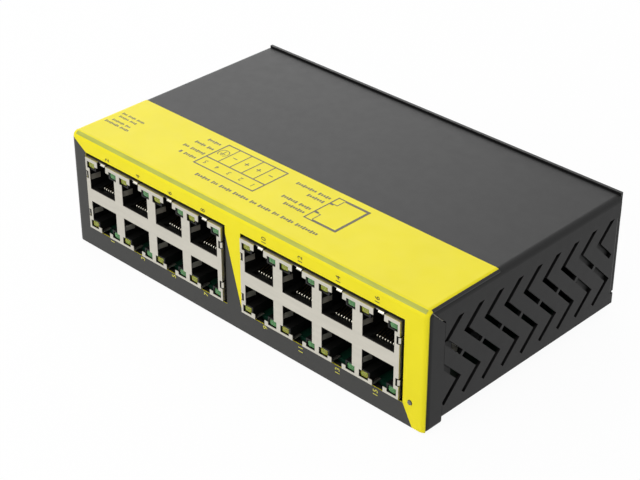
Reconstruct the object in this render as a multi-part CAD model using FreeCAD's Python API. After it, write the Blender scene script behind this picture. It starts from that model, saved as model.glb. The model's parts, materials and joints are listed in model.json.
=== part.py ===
import FreeCAD, Part
import math
import os

# DIN-rail Ethernet switch with sixteen RJ45 ports, lying on its broad face.
# Millimetres. Case frame: x from the middle of the case along its length, y from the front panel
# to the rear, z up from the surface it rests on. The exported pieces are moved so that the middle
# of the whole outline is the origin.

Vector = FreeCAD.Vector
X, Y, Z = Vector(1, 0, 0), Vector(0, 1, 0), Vector(0, 0, 1)
OVER = 0.5  # how far a cutting tool reaches past the face it opens
TOLERANCE = 1e-4
SLIVER = 0.01  # an opening smaller than this is not cut

# --- Case: two folded steel sheets -------------------------------------------------------------
case_length = 152.0
case_depth = 88.0
case_height = 41.0
sheet = 1.0
bend = 2.0  # outer radius of a fold
lip_bend = 1.5
lip_depth = 7.0
flange_depth = 7.2  # side returns of the front panel
seam = 0.1
seam_reach = 0.1  # how far the seams open the sheet past its inner face
mitre_seam = 0.4
mitre_start = 1.0  # where the mitre leaves the front corner
seam_weld = (6.5, 20.6)  # heights between which the side return is welded to the vented end
end_bottom = 3.0  # lower edge of the vented ends
rear_return = 9.0
rear_return_top = 34.0
rear_screw_edge = 3.5  # from the return's free edge
back_gap = 0.2  # between the top sheet and the back plate
back_rise = 0.7  # how far the back plate stands above the top
back_insets = {-1: 2.4, 1: 0.8}  # from the left and the right end of the case

# Zigzag vents of the ends
vent_pitch = 8.75
vent_first = -2.25
vent_count = 10
vent_width = 1.63
vent_knee_z = 28.3
vent_up = 6.2
vent_down = 14.9
vent_foot = 5.85
vent_bridge = 1.3
vent_bridge_at = 7.5

# Tray: floor, back plate and four upturned ears
tray_clear = 0.2
tray_bend = 1.5
tray_lip_height = 4.0
tray_side_height = 3.5
front_ear_end = 11.5
front_ear_top = 27.0
rear_ear_start = 69.5
rear_ear_top = 29.0

# Printed film over the front and the front of the top
film = 0.2
film_top_depth = 30.6
film_side_gap = 0.4
film_foot = 0.6
film_margin = 0.15

# --- Main board --------------------------------------------------------------------------------
board_thickness = 1.6
board_top = 8.4
board_edge_gap = 0.8  # from the tray's end flanges
board_front_gap = 0.2  # from the tray's front flange
board_rear_gap = 3.0
board_corner = 1.5
screw_radius = 1.45
screw_hole = 1.5
screw_head = 2.85
screw_head_height = 2.0
standoff_flats = 5.0
standoff_places = ((-0.75, 14.0), (67.0, 76.0), (-67.0, 76.0))
board_screw_flats = 5.5

# --- Stacked jacks: two rows of four sockets in each -------------------------------------------
jack_pitch = 15.875
jack_columns = 4
jack_centres = {"a": -36.6, "b": 35.1}
jack_end = 7.8875  # from the last column to the shield's end
jack_height = 26.2
jack_middle_rise = 12.9  # middle plane between the rows, above the board
jack_depth = 25.6
jack_proud = 1.2
jack_sheet = 0.25
cutout_clear = 0.7
housing_clear = 0.1
housing_depth = 12.0
# heights in a socket are counted outward from the middle plane between the rows
socket_half = 6.025
socket_floor = 2.3
socket_ceiling = 9.7
lens_width = 3.55
lens_web = 1.675  # shield between the windows of neighbouring sockets
lens_window_top = 12.1
notch_half = 2.05
tongue_end = 11.1
cavity_relief = 0.375  # of the moulding beside the shield's opening
cavity_floor = 2.5
cavity_ceiling = 9.4
latch_half = 3.2
lens_hole_insets = (0.25, 0.2)  # from the window's inner and outer edge
lens_hole_heights = (9.85, 12.05)
lens_clear = 0.1
lens_recess = 0.75
guide_finger_heights = (5.4, 7.3)
guide_finger_path = ((0, 0), (0, 0.9), (0.6, 3.8))  # inward, and behind the jack's face
finger_width = 2.0
finger_gap = 0.35
finger_crest = 0.25
finger_crest_at = 0.3
finger_tuck = 0.15
finger_slit = 0.74  # open below the tucked tip
finger_length = 4.6
finger_shift = 0.75  # from the middle of a socket toward the right
end_finger_width = 1.9
end_finger_height = 7.1
contact_count = 8
contact_pitch = 1.02
contact_width = 0.4
contact_thickness = 0.25
contact_path = ((3.4, 1.5), (4.2, 1.95))  # depth behind the jack's face, height
contact_root = 4.9
sill_depth = 0.8
comb_floor = 1.2  # behind the sill
insert_clear = 0.05
insert_gap = 0.675
insert_groove_depth = 2.0
insert_groove_half = 1.0

# --- Power light -------------------------------------------------------------------------------
power_light_x = 70.4
power_light_rise = 0.5  # above the board
pipe_radius = 0.7
pipe_clear = 0.15
pipe_proud = 0.3

# --- Five-way supply terminal on the left end --------------------------------------------------
terminal_ways = 5
terminal_pitch = 5.08
terminal_gap = 1.2  # behind the jacks
terminal_end_wall = 0.9
header_depth = 12.0
header_height = 8.6
header_wall = 0.9
header_inset = 0.3
plug_proud = 10.6
plug_gap = 0.2
plug_height = 15.0
plug_rise = 0.5
plug_chamfer = 1.2
plug_entry = 3.4
plug_entry_rise = 2.6
plug_entry_depth = 6.5
plug_screw_radius = 1.7
plug_screw_hole = 1.9
plug_screw_height = 2.2
plug_screw_back = 4.2
plug_slot_half = 0.3
plug_slot_depth = 0.8
plug_fit = 0.15
clamp_depth = 3.6
clamp_wall = 0.5
clamp_back = 0.6
pin_size = 1.0
pin_hole = 1.4
pin_length = 9.0
terminal_clear = 0.5

# --- Clip for a 35 mm rail, on the back plate --------------------------------------------------
rail_width = 35.0
rail_clear = 0.3
clip_height_at = 20.5
clip_width = 24.0
clip_end_margin = 6.4
hook_wall = 6.0
hook_grip = 2.5
hook_thickness = 1.9
hook_slot = 1.4
hook_chamfer = 1.2
channel_half = 5.2
channel_depth = 4.4
channel_room = 2.0  # behind the latch's blade
clip_roof = 2.0
clip_guide_end = 26.0
slide_clear = 0.3
latch_tail = 33.0
latch_back_end = -12.0
latch_nose = 5.0
latch_grip = 2.2
latch_ramp = 1.5
latch_corner = 1.5
latch_travel = 4.0
latch_window = (-10.0, 6.0)
latch_window_half = 2.5
latch_slot = (27.5, 30.5)
latch_slot_half = 3.2
post_width = 2.0
spring_leaf = 0.4
spring_width = 3.0
spring_legs = 6
bracket_screw_places = ((-11.0, 8.6), (11.0, -8.6))
bracket_screw_head = 2.75
bracket_screw_head_height = 1.8
bracket_head_clear = 0.15
bracket_head_sunk = 0.2
bracket_screw_tail = 2.4

# --- Parts on the board: length, width and height, and the place of the middle ------------------
solder_gap = 0.1
switch_chip_size = (24.0, 24.0, 1.9)
switch_chip_at = (-14.0, 56.0)
sink_side = 28.0
sink_base = 2.0
sink_height = 10.0
sink_fins = 8
sink_fin = 1.0
transceiver_size = (14.0, 14.0, 1.4)
transceiver_places = ((22.0, 56.0), (46.0, 56.0))
transformer_size = (13.0, 9.0, 5.6)
transformer_gap = 5.1  # behind the jacks
crystal_size = (5.0, 3.2, 1.1)
crystal_at = (6.0, 62.0)
inductor_size = (12.0, 12.0, 7.0)
inductor_corner = 2.0
inductor_at = (-44.0, 74.0)
capacitor_radius = 5.0
capacitor_height = 14.0
capacitor_at = (-52.0, 62.0)
regulator_size = (6.0, 5.0, 1.5)
regulator_at = (-30.0, 76.0)
fuse_size = (7.4, 5.1, 1.5)
fuse_at = (-50.0, 50.0)
led_size = (3.0, 1.6, 1.8)

# --- Values worked out from the ones above ------------------------------------------------------
half_length = case_length / 2
tray_floor = screw_head_height  # underside of the tray, which stands on its screw heads
tray_inside = tray_floor + sheet
board_bottom = board_top - board_thickness
board_front = 2 * sheet + tray_clear + board_front_gap
board_half_length = half_length - 2 * sheet - tray_clear - board_edge_gap
rear_return_span = (tray_inside + tray_side_height + tray_clear, rear_return_top)
back_front = case_depth + back_gap
back_rear = back_front + sheet
jack_width = (jack_columns - 1) * jack_pitch + 2 * jack_end
jack_middle = board_top + jack_middle_rise
jack_face = -jack_proud
jack_rear = jack_face + jack_depth
housing_front = jack_face + jack_sheet + housing_clear
insert_front = housing_front + housing_depth + insert_clear
insert_width = jack_pitch - insert_gap
comb_half = contact_count * contact_pitch / 2
lens_far = (jack_pitch - lens_web) / 2
lens_window = (lens_far - lens_width, lens_far)
lens_hole = (lens_window[0] + lens_hole_insets[0], lens_window[1] - lens_hole_insets[1])
cavity_half = socket_half + cavity_relief
terminal_width = terminal_ways * terminal_pitch + 2 * terminal_end_wall
terminal_half = terminal_width / 2
terminal_middle = jack_rear + terminal_gap + terminal_half
header_face = -half_length + header_inset
header_back = header_face + header_depth
plug_inner = -half_length - plug_gap
plug_outer = plug_inner - plug_proud
rail_seat = back_rear + channel_depth + clip_roof
rail_half = rail_width / 2
clip_back = rail_seat + hook_slot + hook_thickness
clip_half = clip_width / 2
hook_inner = -(rail_half + rail_clear)
clip_end = hook_inner - hook_wall

x_low, x_high = plug_outer, half_length
y_low, y_high = jack_face, clip_back
HOME = Vector(-(x_low + x_high) / 2, -(y_low + y_high) / 2, 0)


# --- Small tools ---------------------------------------------------------------------------------
def box(x0, x1, y0, y1, z0, z1):
    return Part.makeBox(x1 - x0, y1 - y0, z1 - z0, Vector(x0, y0, z0))


def rod(radius, start, direction, length):
    return Part.makeCylinder(radius, length, start, direction)


def prism(points, travel):
    return Part.Face(Part.makePolygon(points + points[:1])).extrude(travel)


def hexagon(flats, x, y, z0, z1):
    """Upright hexagonal bar across its flats."""
    side = flats / math.sqrt(3)
    turns = [k * math.pi / 3 for k in range(6)]
    return prism([Vector(x + side * math.cos(a), y + side * math.sin(a), z0) for a in turns], Z * (z1 - z0))


def join(shapes):
    shapes = list(shapes)
    return shapes[0].fuse(shapes[1:]).removeSplitter() if len(shapes) > 1 else shapes[0]


def straight_edges(shape, axis, x=None, y=None, z=None):
    """The straight edges that run along an axis through the given coordinates."""
    found = []
    for edge in shape.Edges:
        if edge.Curve.TypeId != "Part::GeomLine":
            continue
        middle = edge.CenterOfMass
        parallel = edge.tangentAt(edge.FirstParameter).cross(axis).Length < TOLERANCE
        pairs = ((x, middle.x), (y, middle.y), (z, middle.z))
        if parallel and all(want is None or abs(want - have) < TOLERANCE for want, have in pairs):
            found.append(edge)
    return found


def screw(head_radius, head_height, shank_length, at, direction):
    """Pan-head screw; at is the seat of the head, direction points along the shank."""
    head = rod(head_radius, at, direction * -1, head_height)
    return join([head, rod(screw_radius, at, direction, shank_length)])


# --- Case ----------------------------------------------------------------------------------------
def rounded_case(grow, z_bottom, y_rear, radius, foot_radius, corners=True):
    """The block that the folded cover wraps, grown or shrunk on its front, top and ends."""
    left, right, front, top = -half_length - grow, half_length + grow, -grow, case_height + grow
    block = box(left, right, front, y_rear, z_bottom, top)
    if foot_radius:
        block = block.makeFillet(foot_radius, straight_edges(block, X, y=front, z=z_bottom))
    edges = straight_edges(block, X, y=front, z=top)
    if corners:
        edges += straight_edges(block, Z, x=left, y=front) + straight_edges(block, Z, x=right, y=front)
        edges += straight_edges(block, Y, x=left, z=top) + straight_edges(block, Y, x=right, z=top)
    return block.makeFillet(radius, edges)


def jack_cutout(centre, clear, y0, y1):
    half = jack_width / 2 + clear
    return box(centre - half, centre + half, y0, y1, board_top - clear, board_top + jack_height + clear)


def vent_outlines(tip):
    """The two openings of one zigzag, above and below its bridge, as (y, z) corners."""
    run = vent_width * math.sqrt(2)
    half = run / 2
    gap = vent_bridge / math.sqrt(2)
    knee, heel = vent_knee_z, vent_knee_z - vent_down
    start, again = vent_bridge_at, vent_bridge_at + gap
    upper = [(vent_up, knee + vent_up), (0, knee), (start, knee - start),
             (start + half, knee - start + half), (run, knee), (vent_up + run, knee + vent_up)]
    toe = vent_down - vent_foot
    lower = [(again, knee - again), (vent_down, heel), (toe, heel - vent_foot),
             (toe + half, heel - vent_foot - half), (vent_down + run, heel),
             (again + half, knee - again + half)]
    return [[(tip + y, z) for y, z in outline] for outline in (upper, lower)]


def vent_tools(side):
    """Cutting tools for the vents of one end; the left end keeps clear of the terminal."""
    x_inner = side * (half_length - sheet - OVER)
    travel = X * side * (sheet + 2 * OVER)
    first_y = flange_depth
    if side < 0:
        first_y = terminal_middle + terminal_half + terminal_clear + vent_width
    tools = []
    for k in range(vent_count):
        tip = vent_first + k * vent_pitch
        outlines = vent_outlines(tip)
        if k == vent_count - 1:
            outlines = outlines[:1]
        for outline in outlines:
            if side < 0 and min(y for y, z in outline) < first_y:
                continue
            tool = prism([Vector(x_inner, y, z) for y, z in outline], travel)
            tool = tool.common(box(-case_length, case_length, first_y, case_depth, 0, case_height))
            if tool.Volume > SLIVER:
                tools.append(tool)
    return tools


def corner_seams(side):
    """Gaps where the front's side return meets the vented end: a mitre and a vertical seam."""
    x_inner = side * (half_length - sheet - seam_reach)
    travel = X * side * (sheet + OVER)
    run = mitre_seam / math.sqrt(2)
    low_z = case_height - (flange_depth - mitre_start)
    mitre = [(mitre_start - run, case_height), (flange_depth - run, low_z),
             (flange_depth, low_z + run), (mitre_start, case_height + run)]
    outlines = [mitre]
    for z0, z1 in ((-OVER, seam_weld[0]), (seam_weld[1], low_z + run)):
        outlines.append([(flange_depth - seam, z0), (flange_depth, z0), (flange_depth, z1),
                         (flange_depth - seam, z1)])
    return [prism([Vector(x_inner, y, z) for y, z in outline], travel) for outline in outlines]


def rear_screw_places():
    """Seats of the rear screws, on the back plate behind the returns of the cover."""
    x = half_length - rear_return + rear_screw_edge
    return [(side * x, back_rear, sum(rear_return_span) / 2) for side in (-1, 1)]


def rear_screw_holes():
    return [rod(screw_hole, Vector(x, y + OVER, z), Y * -1, 2 * sheet + 2 * OVER)
            for x, y, z in rear_screw_places()]


def rear_fold(side):
    """Return folded inward from the rear edge of a vented end; the back plate is screwed to it."""
    z0, z1 = rear_return_span
    centre = Vector(side * (half_length - bend), back_front - bend, z0)
    quarter = Part.makeCylinder(bend, z1 - z0, centre, Z, 90)
    quarter = quarter.cut(rod(bend - sheet, centre, Z, z1 - z0))
    quarter.rotate(centre, Z, 0 if side > 0 else 90)
    x0, x1 = sorted((side * (half_length - bend), side * (half_length - rear_return)))
    tab = box(x0, x1, back_front - sheet, back_front, z0, z1)
    return join([quarter, tab]).cut(rear_screw_holes())


def top_cover():
    outer = rounded_case(0, 0, case_depth, bend, lip_bend)
    inner = rounded_case(-sheet, sheet, case_depth + OVER, bend - sheet, lip_bend - sheet, corners=False)
    cover = outer.cut(inner)
    wide = half_length + OVER
    room = half_length - sheet
    tools = [
        box(-wide, wide, lip_depth, flange_depth, -OVER, sheet + OVER).common(
            box(-room, room, 0, case_depth, -OVER, case_height)),
        box(-wide, wide, flange_depth, case_depth + OVER, -OVER, end_bottom),
    ]
    for side in (-1, 1):
        # relief between the bottom lip and the side return
        x0, x1 = sorted((side * room, side * (room - sheet)))
        tools.append(box(x0, x1, lip_bend, lip_depth + OVER, -OVER, sheet + OVER))
        # room for the fold of the rear return
        x0, x1 = sorted((side * (room - OVER), side * wide))
        tools.append(box(x0, x1, back_front - bend, case_depth + OVER, *rear_return_span))
        tools += vent_tools(side) + corner_seams(side)
    tools += [jack_cutout(c, cutout_clear, -OVER, sheet + OVER) for c in jack_centres.values()]
    light = Vector(power_light_x, -OVER, board_top + power_light_rise)
    tools.append(rod(pipe_radius + pipe_clear, light, Y, sheet + 2 * OVER))
    tools.append(box(-wide, -room + OVER, terminal_middle - terminal_half - terminal_clear,
                     terminal_middle + terminal_half + terminal_clear,
                     board_top - terminal_clear, board_top + header_height + terminal_clear))
    cover = cover.cut(tools)
    return join([cover, rear_fold(-1), rear_fold(1)])


def base_tray():
    """Floor folded up at the front, at the ends and into the back plate."""
    side_x = half_length - sheet - tray_clear
    front = sheet + tray_clear
    top = case_height + back_rise
    block = box(-side_x, side_x, front, back_rear, tray_floor, top)
    rear_edge = straight_edges(block, X, y=back_rear, z=tray_floor)
    side_edges = [e for s in (-1, 1) for e in straight_edges(block, Y, x=s * side_x, z=tray_floor)]
    front_edge = straight_edges(block, X, y=front, z=tray_floor)
    block = block.makeFillet(tray_bend, rear_edge + side_edges + front_edge)
    hollow = box(-side_x + sheet, side_x - sheet, front + sheet, back_front, tray_inside, top + OVER)
    low = hollow.Vertexes[0].Point.z
    floor_edges = [e for e in hollow.Edges if abs(e.CenterOfMass.z - low) < TOLERANCE]
    hollow = hollow.makeFillet(tray_bend - sheet, floor_edges)
    tray = block.cut(hollow)
    side_top = tray_inside + tray_side_height
    lip_top = tray_inside + tray_lip_height
    wide = half_length
    tools = [
        # front flange kept low, in front of the board
        box(-wide, wide, 0, front + sheet + OVER, lip_top, top + OVER).cut(
            [box(-wide, -side_x + sheet, 0, case_depth, 0, top),
             box(side_x - sheet, wide, 0, case_depth, 0, top)]),
        # end flanges: low in the middle, ears at the front and the rear
        box(-wide, wide, front_ear_end, rear_ear_start, side_top, top + OVER),
        box(-wide, wide, 0, front_ear_end + OVER, front_ear_top, top + OVER),
        box(-wide, wide, rear_ear_start - OVER, back_front - bend - tray_clear, rear_ear_top, top + OVER),
        box(-wide, wide, back_front - bend - tray_clear, back_front, side_top, top + OVER),
    ]
    # open corners between the folds of the floor
    for side in (-1, 1):
        for y0, y1 in ((front - OVER, front + bend), (back_rear - bend, back_rear + OVER)):
            x0, x1 = sorted((side * (side_x - bend), side * wide))
            tools.append(box(x0, x1, y0, y1, 0, tray_floor + bend))
    tools += [rod(screw_hole, Vector(x, y, 0), Z, board_bottom) for x, y in standoff_places]
    tools += [rod(screw_hole, Vector(x, back_rear + OVER, clip_height_at + z), Y * -1, 2 * sheet + OVER)
              for x, z in bracket_screw_places]
    tray = tray.cut(tools)
    # the back plate is wider than the tray's floor
    flanks = []
    for side in (-1, 1):
        x0, x1 = sorted((side * (side_x - sheet), side * (half_length - back_insets[side])))
        flanks.append(box(x0, x1, back_front, back_rear, rear_return_span[0], top))
    return join([tray] + flanks).cut(rear_screw_holes())


def front_overlay():
    """Film that wraps from the top over the front fold and down the panel."""
    skin = rounded_case(film, film_foot, film_top_depth, bend + film, 0)
    skin = skin.cut(rounded_case(0, film_foot - OVER, film_top_depth + OVER, bend, 0))
    edge = half_length - film_side_gap
    on_top = box(-edge, edge, -OVER, film_top_depth, case_height - bend, case_height + OVER)
    on_front = box(-edge, edge, -OVER, bend, film_foot, case_height + OVER)
    skin = skin.common(on_top.fuse(on_front))
    tools = [jack_cutout(c, cutout_clear + film_margin, -OVER, sheet) for c in jack_centres.values()]
    light = Vector(power_light_x, -OVER, board_top + power_light_rise)
    tools.append(rod(pipe_radius + pipe_clear, light, Y, sheet))
    return skin.cut(tools)


# --- Board and fasteners ---------------------------------------------------------------------------
def main_board():
    edge = board_half_length
    board = box(-edge, edge, board_front, back_front - board_rear_gap, board_bottom, board_top)
    board = board.makeFillet(board_corner, straight_edges(board, Z))
    return board.cut([rod(screw_hole, Vector(x, y, board_bottom - OVER), Z, board_thickness + 2 * OVER)
                      for x, y in standoff_places])


def board_standoffs():
    posts = []
    for x, y in standoff_places:
        post = hexagon(standoff_flats, x, y, tray_inside, board_bottom)
        posts.append(post.cut(rod(screw_hole, Vector(x, y, tray_inside - OVER), Z, board_bottom)))
    return Part.makeCompound(posts)


def half_standoff():
    return (board_bottom - tray_inside) / 2 - slide_clear / 2


def base_screws():
    length = sheet + half_standoff()
    return Part.makeCompound([screw(screw_head, screw_head_height, length, Vector(x, y, tray_floor), Z)
                              for x, y in standoff_places])


def board_screws():
    """Hexagon-head screws that hold the board down on its standoffs."""
    length = board_thickness + half_standoff()
    screws = []
    for x, y in standoff_places:
        head = hexagon(board_screw_flats, x, y, board_top, board_top + screw_head_height)
        screws.append(join([head, rod(screw_radius, Vector(x, y, board_top), Z * -1, length)]))
    return Part.makeCompound(screws)


def rear_screws():
    return Part.makeCompound([screw(screw_head, screw_head_height, 2 * sheet + OVER, Vector(*at), Y * -1)
                              for at in rear_screw_places()])


# --- Jacks -----------------------------------------------------------------------------------------
def columns(centre):
    return [centre + (k - (jack_columns - 1) / 2) * jack_pitch for k in range(jack_columns)]


def at_height(row, height):
    """Height above the rest of a point counted outward from the middle plane of the jack."""
    return jack_middle + row * height


def socket_outline(row):
    """Opening of one socket in the shield: plug, two lens windows and the latch notch."""
    near, far = lens_window
    half = [(socket_half, socket_floor), (socket_half, socket_ceiling), (far, socket_ceiling),
            (far, lens_window_top), (near, lens_window_top), (near, tongue_end),
            (notch_half, tongue_end), (notch_half, jack_height / 2 + OVER)]
    whole = half + [(-u, h) for u, h in reversed(half)]
    return [(u, at_height(row, h)) for u, h in whole]


def outward(shape, centre, turn, x, z):
    """Place a spring modelled on a level sheet at a jack's top, bottom or end."""
    shape = shape.copy()
    shape.rotate(Vector(0, 0, 0), Y, turn)
    shape.translate(Vector(centre + x, jack_face, z))
    return shape


def spring_finger(width):
    """Bowed strip lanced out of the shield: root in the sheet, crest proud, tip tucked in."""
    line = [(0, -finger_tuck), (finger_crest_at, finger_crest), (finger_length, 0)]
    low = [(y, z - jack_sheet) for y, z in line]
    outline = line + low[::-1]
    return prism([Vector(-width / 2, y, z) for y, z in outline], X * width)


def finger_window(width):
    """Opening around a spring finger, cut through sheet and front corner."""
    half = width / 2 + finger_gap
    low = -finger_tuck - jack_sheet - finger_slit
    return box(-half, half, -OVER, finger_length - 2 * jack_sheet, low, OVER)


def finger_places():
    """Turn, x, z and width of each outer spring of a jack, from the jack's middle."""
    top, end = board_top + jack_height, jack_width / 2
    places = [(0, x + finger_shift, top, finger_width) for x in columns(0)]
    for row in (-1, 1):
        z = at_height(row, end_finger_height)
        places += [(90, end, z, end_finger_width), (-90, -end, z, end_finger_width)]
    return places


def guide_finger(x, row, side):
    """Spring folded in from a side edge of a socket, which earths the plug."""
    path = [(socket_half - inward, deep) for inward, deep in guide_finger_path]
    outline = path + [(u + jack_sheet, v) for u, v in reversed(path)]
    z0, z1 = sorted(at_height(row, h) for h in guide_finger_heights)
    return prism([Vector(x + side * u, jack_face + v, z0) for u, v in outline], Z * (z1 - z0))


def jack_shield(centre):
    half, top = jack_width / 2, board_top + jack_height
    shell = box(centre - half, centre + half, jack_face, jack_rear, board_top, top)
    room = half - jack_sheet
    shell = shell.cut(box(centre - room, centre + room, jack_face + jack_sheet, jack_rear - jack_sheet,
                          board_top + jack_sheet, top - jack_sheet))
    tools = [box(centre - room, centre + room, board_front + 2 * jack_sheet, jack_rear + OVER,
                 board_top - OVER, board_top + 2 * jack_sheet)]
    for x in columns(centre):
        # the notches of the lower row are open below
        tools.append(box(x - notch_half, x + notch_half, jack_face - OVER, jack_rear - OVER,
                         board_top - OVER, board_top + 2 * jack_sheet))
    for row in (-1, 1):
        for x in columns(centre):
            outline = [Vector(x + u, jack_face - OVER, z) for u, z in socket_outline(row)]
            tools.append(prism(outline, Y * (jack_sheet + 2 * OVER)))
    springs = []
    for turn, x, z, width in finger_places():
        tools.append(outward(finger_window(width), centre, turn, x, z))
        springs.append(outward(spring_finger(width), centre, turn, x, z))
    for row in (-1, 1):
        for x in columns(centre):
            springs += [guide_finger(x, row, side) for side in (-1, 1)]
    return join([shell.cut(tools)] + springs)


def jack_housing(centre):
    half = jack_width / 2 - jack_sheet - housing_clear
    z0 = board_top + jack_sheet + housing_clear
    z1 = board_top + jack_height - jack_sheet - housing_clear
    rear = housing_front + housing_depth
    block = box(centre - half, centre + half, housing_front, rear, z0, z1)
    tools = []
    y0, y1 = housing_front - OVER, rear + OVER

    def opening(x, row, u0, u1, h0, h1, start=y0):
        low, high = sorted(at_height(row, h) for h in (h0, h1))
        return box(x + min(u0, u1), x + max(u0, u1), start, y1, low, high)

    front_relief = jack_face + finger_length / 2
    for row in (-1, 1):
        for x in columns(centre):
            tools.append(opening(x, row, -cavity_half, cavity_half, cavity_floor, cavity_ceiling))
            tools.append(opening(x, row, -comb_half, comb_half, comb_floor, cavity_ceiling,
                                 housing_front + sill_depth))
            tools.append(opening(x, row, -latch_half, latch_half, cavity_floor, jack_height))
            for side in (-1, 1):
                u0, u1 = (side * u for u in lens_hole)
                tools.append(opening(x, row, u0, u1, *lens_hole_heights))
        z = at_height(row, end_finger_height)
        reach = end_finger_width / 2 + finger_gap
        for side in (-1, 1):
            x0, x1 = sorted(centre + side * u for u in (half + OVER, half - finger_tuck - jack_sheet))
            tools.append(box(x0, x1, y0, front_relief, z - reach, z + reach))
    return block.cut(tools)


def jack_inserts(centre):
    """Inner mouldings, one for each column, that hold the contact springs."""
    z1 = board_top + jack_height - jack_sheet - housing_clear
    rear = jack_rear - jack_sheet - housing_clear
    blocks = []
    for x in columns(centre):
        block = box(x - insert_width / 2, x + insert_width / 2, insert_front, rear, board_top, z1)
        groove = box(x - insert_width / 2 - OVER, x + insert_width / 2 + OVER, rear - insert_groove_depth,
                     rear + OVER, jack_middle - insert_groove_half, jack_middle + insert_groove_half)
        blocks.append(block.cut(groove))
    return Part.makeCompound(blocks)


def jack_contacts(centre):
    """Flat springs that run back from the sill of each socket and rise to the insert behind it."""
    half = contact_thickness / 2
    path = [(jack_face + deep, height) for deep, height in contact_path] + [(insert_front, contact_root)]
    strips = []
    for row in (-1, 1):
        outline = [(y, at_height(row, h + half)) for y, h in path]
        outline += [(y, at_height(row, h - half)) for y, h in reversed(path)]
        for x in columns(centre):
            for k in range(contact_count):
                left = x + (k - (contact_count - 1) / 2) * contact_pitch - contact_width / 2
                strips.append(prism([Vector(left, y, z) for y, z in outline], X * contact_width))
    return Part.makeCompound(strips)


def light_pipes(centre, side):
    near, far = lens_hole[0] + lens_clear, lens_hole[1] - lens_clear
    low, high = lens_hole_heights[0] + lens_clear, lens_hole_heights[1] - lens_clear
    pipes = []
    for row in (-1, 1):
        z0, z1 = sorted(at_height(row, h) for h in (low, high))
        for x in columns(centre):
            x0, x1 = sorted((x + side * near, x + side * far))
            pipes.append(box(x0, x1, jack_face + lens_recess, insert_front, z0, z1))
    return Part.makeCompound(pipes)


# --- Board parts -----------------------------------------------------------------------------------
def chip(at, size):
    x, y = at
    length, width, height = size
    return box(x - length / 2, x + length / 2, y - width / 2, y + width / 2, board_top,
               board_top + height + solder_gap)


def switch_chip():
    return chip(switch_chip_at, switch_chip_size)


def heat_sink():
    """Base plate on the switch chip with upright fins in one extrusion."""
    x, y = switch_chip_at
    half = sink_side / 2
    low = board_top + switch_chip_size[2] + solder_gap
    pitch = (sink_side - sink_fin) / (sink_fins - 1)
    plate = box(x - half, x + half, y - half, y + half, low, low + sink_base)
    starts = [x - half + k * pitch for k in range(sink_fins)]
    fins = [box(left, left + sink_fin, y - half, y + half, low, low + sink_height) for left in starts]
    return join([plate] + fins)


def transceiver_chips():
    return Part.makeCompound([chip(at, transceiver_size) for at in transceiver_places])


def isolation_transformers():
    """One behind each pair of sockets that the supply terminal leaves free."""
    y = jack_rear + transformer_gap + transformer_size[1] / 2
    first = header_back + pin_size + transformer_size[0] / 2
    places = [(x, y) for centre in jack_centres.values() for x in columns(centre) if x > first]
    return Part.makeCompound([chip(at, transformer_size) for at in places])


def crystal():
    return chip(crystal_at, crystal_size)


def power_inductor():
    coil = chip(inductor_at, inductor_size)
    return coil.makeFillet(inductor_corner, straight_edges(coil, Z))


def power_capacitor():
    return rod(capacitor_radius, Vector(*capacitor_at, board_top), Z, capacitor_height)


def supply_regulator():
    return chip(regulator_at, regulator_size)


def input_fuse():
    return chip(fuse_at, fuse_size)


def power_led():
    y = board_front + led_size[1] / 2
    return chip((power_light_x, y), led_size)


def power_light_pipe():
    start = Vector(power_light_x, -film - pipe_proud, board_top + power_light_rise)
    return rod(pipe_radius, start, Y, board_front + film + pipe_proud)


# --- Supply terminal -------------------------------------------------------------------------------
def terminal_ys():
    return [terminal_middle + (k - (terminal_ways - 1) / 2) * terminal_pitch for k in range(terminal_ways)]


def terminal_header():
    y0, y1 = terminal_middle - terminal_half, terminal_middle + terminal_half
    body = box(header_face, header_back, y0, y1, board_top, board_top + header_height)
    mouth = box(header_face - OVER, header_back - 2 * header_wall, y0 + header_wall, y1 - header_wall,
                board_top + header_wall, board_top + header_height - header_wall)
    z = board_top + header_height / 2
    hole = pin_size / 2
    pins = [box(header_face, header_back + OVER, y - hole, y + hole, z - hole, z + hole)
            for y in terminal_ys()]
    return body.cut([mouth] + pins)


def header_pins():
    """Square pins: forward into the plug, and down through the board behind the header."""
    z = board_top + header_height / 2
    half = pin_size / 2
    pins = []
    for y in terminal_ys():
        level = box(header_back - pin_length, header_back + pin_size, y - half, y + half, z - half, z + half)
        leg = box(header_back, header_back + pin_size, y - half, y + half, board_top, z + half)
        pins.append(join([level, leg]))
    return Part.makeCompound(pins)


def plug_levels():
    low = board_top + plug_rise
    return low, low + plug_height


def terminal_plug():
    low, high = plug_levels()
    y0, y1 = terminal_middle - terminal_half, terminal_middle + terminal_half
    body = box(plug_outer, plug_inner, y0, y1, low, high)
    body = body.makeChamfer(plug_chamfer, straight_edges(body, Y, x=plug_outer, z=high))
    tongue_gap = header_wall + plug_fit
    tongue = box(plug_inner - OVER, header_back - 2 * header_wall - plug_fit, y0 + tongue_gap,
                 y1 - tongue_gap, board_top + tongue_gap, board_top + header_height - tongue_gap)
    z_pin = board_top + header_height / 2
    hole, entry = pin_hole / 2, plug_entry / 2
    z_entry = low + plug_entry_rise
    tools = []
    for y in terminal_ys():
        tools.append(box(header_back - pin_length - plug_fit, header_back, y - hole, y + hole, z_pin - hole,
                         z_pin + hole))
        tools.append(box(plug_outer - OVER, plug_outer + plug_entry_depth, y - entry, y + entry, z_entry,
                         z_entry + plug_entry))
        at = Vector(plug_outer + plug_screw_back, y, z_entry + plug_entry / 2)
        tools.append(rod(plug_screw_hole, at, Z, plug_height))
    return join([body, tongue]).cut(tools)


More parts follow.
